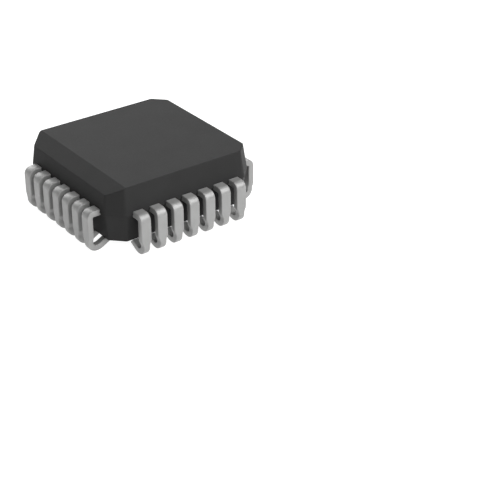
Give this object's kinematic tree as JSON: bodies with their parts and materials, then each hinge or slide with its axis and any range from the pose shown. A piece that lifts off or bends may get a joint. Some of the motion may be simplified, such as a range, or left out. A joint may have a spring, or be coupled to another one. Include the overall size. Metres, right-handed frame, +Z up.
{
  "type": "plastic leaded chip carrier",
  "caption": "Square moulded chip package with J-shaped leads on all four sides, a long top bevel on one side and drafted walls with chamfered corners.",
  "frame": {"origin": "centre of the seating plane, on which the bottoms of the J-shaped leads stand", "axes": "+Z up from the seating plane to the top face; +Y towards the bevelled side, which has lead 1 in its middle; leads are numbered anticlockwise seen from above"},
  "size_m": [0.0134, 0.0134, 0.0047],
  "materials": {
    "mould_compound": "dark grey epoxy mould compound with a fine matte grain",
    "tinned_lead": "satin matte tin plate over a copper alloy strip",
    "lead_frame_copper": "bare copper alloy",
    "die_adhesive": "silver-filled epoxy",
    "silicon": "polished silicon",
    "gold_wire": "bright gold"
  },
  "bodies": {
    "root": {"mould_body": "mould_compound", "lead_01": "tinned_lead", "lead_02": "tinned_lead", "lead_03": "tinned_lead", "lead_04": "tinned_lead", "lead_05": "tinned_lead", "lead_06": "tinned_lead", "lead_07": "tinned_lead", "lead_08": "tinned_lead", "lead_09": "tinned_lead", "lead_10": "tinned_lead", "lead_11": "tinned_lead", "lead_12": "tinned_lead", "lead_13": "tinned_lead", "lead_14": "tinned_lead", "lead_15": "tinned_lead", "lead_16": "tinned_lead", "lead_17": "tinned_lead", "lead_18": "tinned_lead", "lead_19": "tinned_lead", "lead_20": "tinned_lead", "lead_21": "tinned_lead", "lead_22": "tinned_lead", "lead_23": "tinned_lead", "lead_24": "tinned_lead", "lead_25": "tinned_lead", "lead_26": "tinned_lead", "lead_27": "tinned_lead", "lead_28": "tinned_lead", "die_paddle": "lead_frame_copper", "die_attach": "die_adhesive", "silicon_die": "silicon", "bond_wire_01": "gold_wire", "bond_wire_02": "gold_wire", "bond_wire_03": "gold_wire", "bond_wire_04": "gold_wire", "bond_wire_05": "gold_wire", "bond_wire_06": "gold_wire", "bond_wire_07": "gold_wire", "bond_wire_08": "gold_wire", "bond_wire_09": "gold_wire", "bond_wire_10": "gold_wire", "bond_wire_11": "gold_wire", "bond_wire_12": "gold_wire", "bond_wire_13": "gold_wire", "bond_wire_14": "gold_wire", "bond_wire_15": "gold_wire", "bond_wire_16": "gold_wire", "bond_wire_17": "gold_wire", "bond_wire_18": "gold_wire", "bond_wire_19": "gold_wire", "bond_wire_20": "gold_wire", "bond_wire_21": "gold_wire", "bond_wire_22": "gold_wire", "bond_wire_23": "gold_wire", "bond_wire_24": "gold_wire", "bond_wire_25": "gold_wire", "bond_wire_26": "gold_wire", "bond_wire_27": "gold_wire", "bond_wire_28": "gold_wire"}
  },
  "joints": []
}
